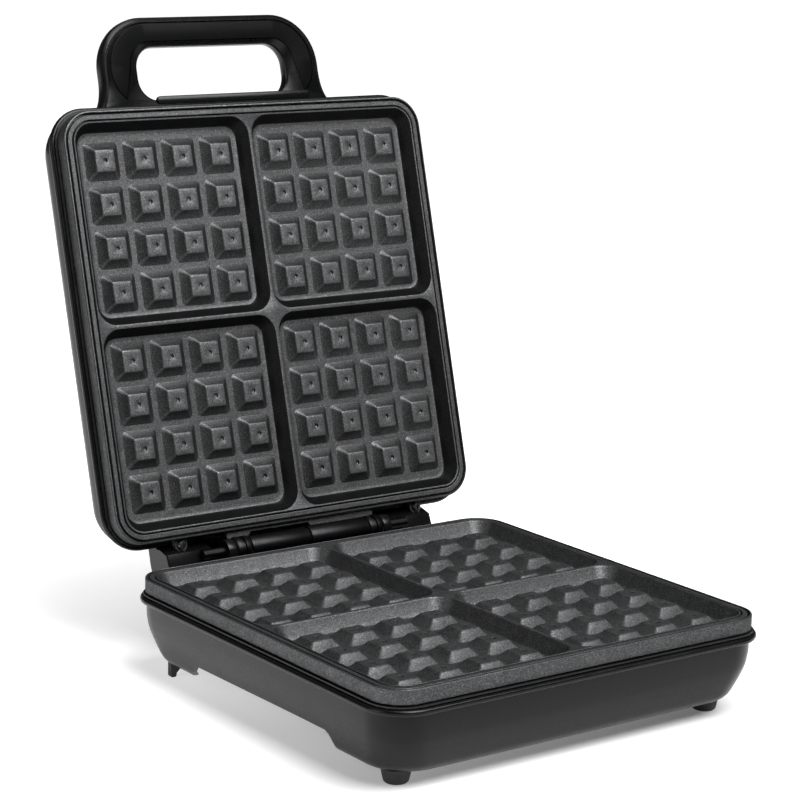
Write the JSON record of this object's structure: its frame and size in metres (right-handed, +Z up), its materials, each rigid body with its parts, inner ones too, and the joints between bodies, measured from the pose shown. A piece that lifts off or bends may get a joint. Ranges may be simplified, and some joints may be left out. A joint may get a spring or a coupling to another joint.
{
  "type": "waffle maker",
  "caption": "Square waffle maker with a hinged lid standing open, deep-pocket non-stick plates in four sections, and a loop handle.",
  "frame": {"origin": "centre of the open machine's bounding box, on the surface that it stands on", "axes": "+X to the right along the hinge, +Y from the user towards the hinge and the open lid, +Z up"},
  "size_m": [0.2378, 0.3588, 0.3308],
  "materials": {
    "satin_casing": "satin black moulded shell",
    "handle_panel": "satin black inset panel",
    "matte_black_plastic": "matt black",
    "cover_sheet": "black enamelled steel sheet",
    "nonstick_plate": "cast, with a dark speckled non-stick coat",
    "element_steel": "dull heat-tinted tube",
    "shield_sheet": "bright rolled sheet",
    "hinge_steel": "dark turned steel",
    "screw_steel": "zinc-plated",
    "foot_rubber": "matt black rubber",
    "terminal_plastic": "cream moulding",
    "lamp_board": "green circuit board",
    "red_lens": "clear red lens",
    "green_lens": "clear green lens"
  },
  "bodies": {
    "base": {"base_shell": "satin_casing", "base_bottom_cover": "cover_sheet", "rear_leg_left": "matte_black_plastic", "rear_leg_right": "matte_black_plastic", "lower_thermostat": "matte_black_plastic", "lower_plate": "nonstick_plate", "lower_heating_element": "element_steel", "lower_heat_shield": "shield_sheet", "hinge_shaft": "hinge_steel", "hinge_sleeve_left": "hinge_steel", "hinge_sleeve_right": "hinge_steel", "hinge_collar_left": "hinge_steel", "hinge_collar_right": "hinge_steel", "cover_screw_front_left": "screw_steel", "cover_screw_rear_left": "screw_steel", "cover_screw_front_right": "screw_steel", "cover_screw_rear_right": "screw_steel", "thermal_fuse": "screw_steel", "front_foot_left": "foot_rubber", "front_foot_right": "foot_rubber", "cord_gland": "foot_rubber", "terminal_block": "terminal_plastic"},
    "lid": {"lid_shell": "satin_casing", "lid_arm_left": "satin_casing", "lid_arm_right": "satin_casing", "handle_loop": "satin_casing", "lid_front_lip": "satin_casing", "hinge_cover": "satin_casing", "handle_panel": "handle_panel", "upper_thermostat": "matte_black_plastic", "upper_plate": "nonstick_plate", "upper_heating_element": "element_steel", "upper_heat_shield": "shield_sheet", "ear_screw_left": "screw_steel", "ear_screw_right": "screw_steel", "handle_screw_left": "screw_steel", "handle_screw_right": "screw_steel", "lamp_board": "lamp_board", "power_lens": "red_lens", "ready_lens": "green_lens"}
  },
  "joints": [
    {"name": "lid_hinge", "type": "hinge", "parent": "base", "child": "lid", "pos_m": [0, 0.06565, 0.0524], "axis": [1, 0, 0], "range_deg": [0, 105.5]}
  ]
}
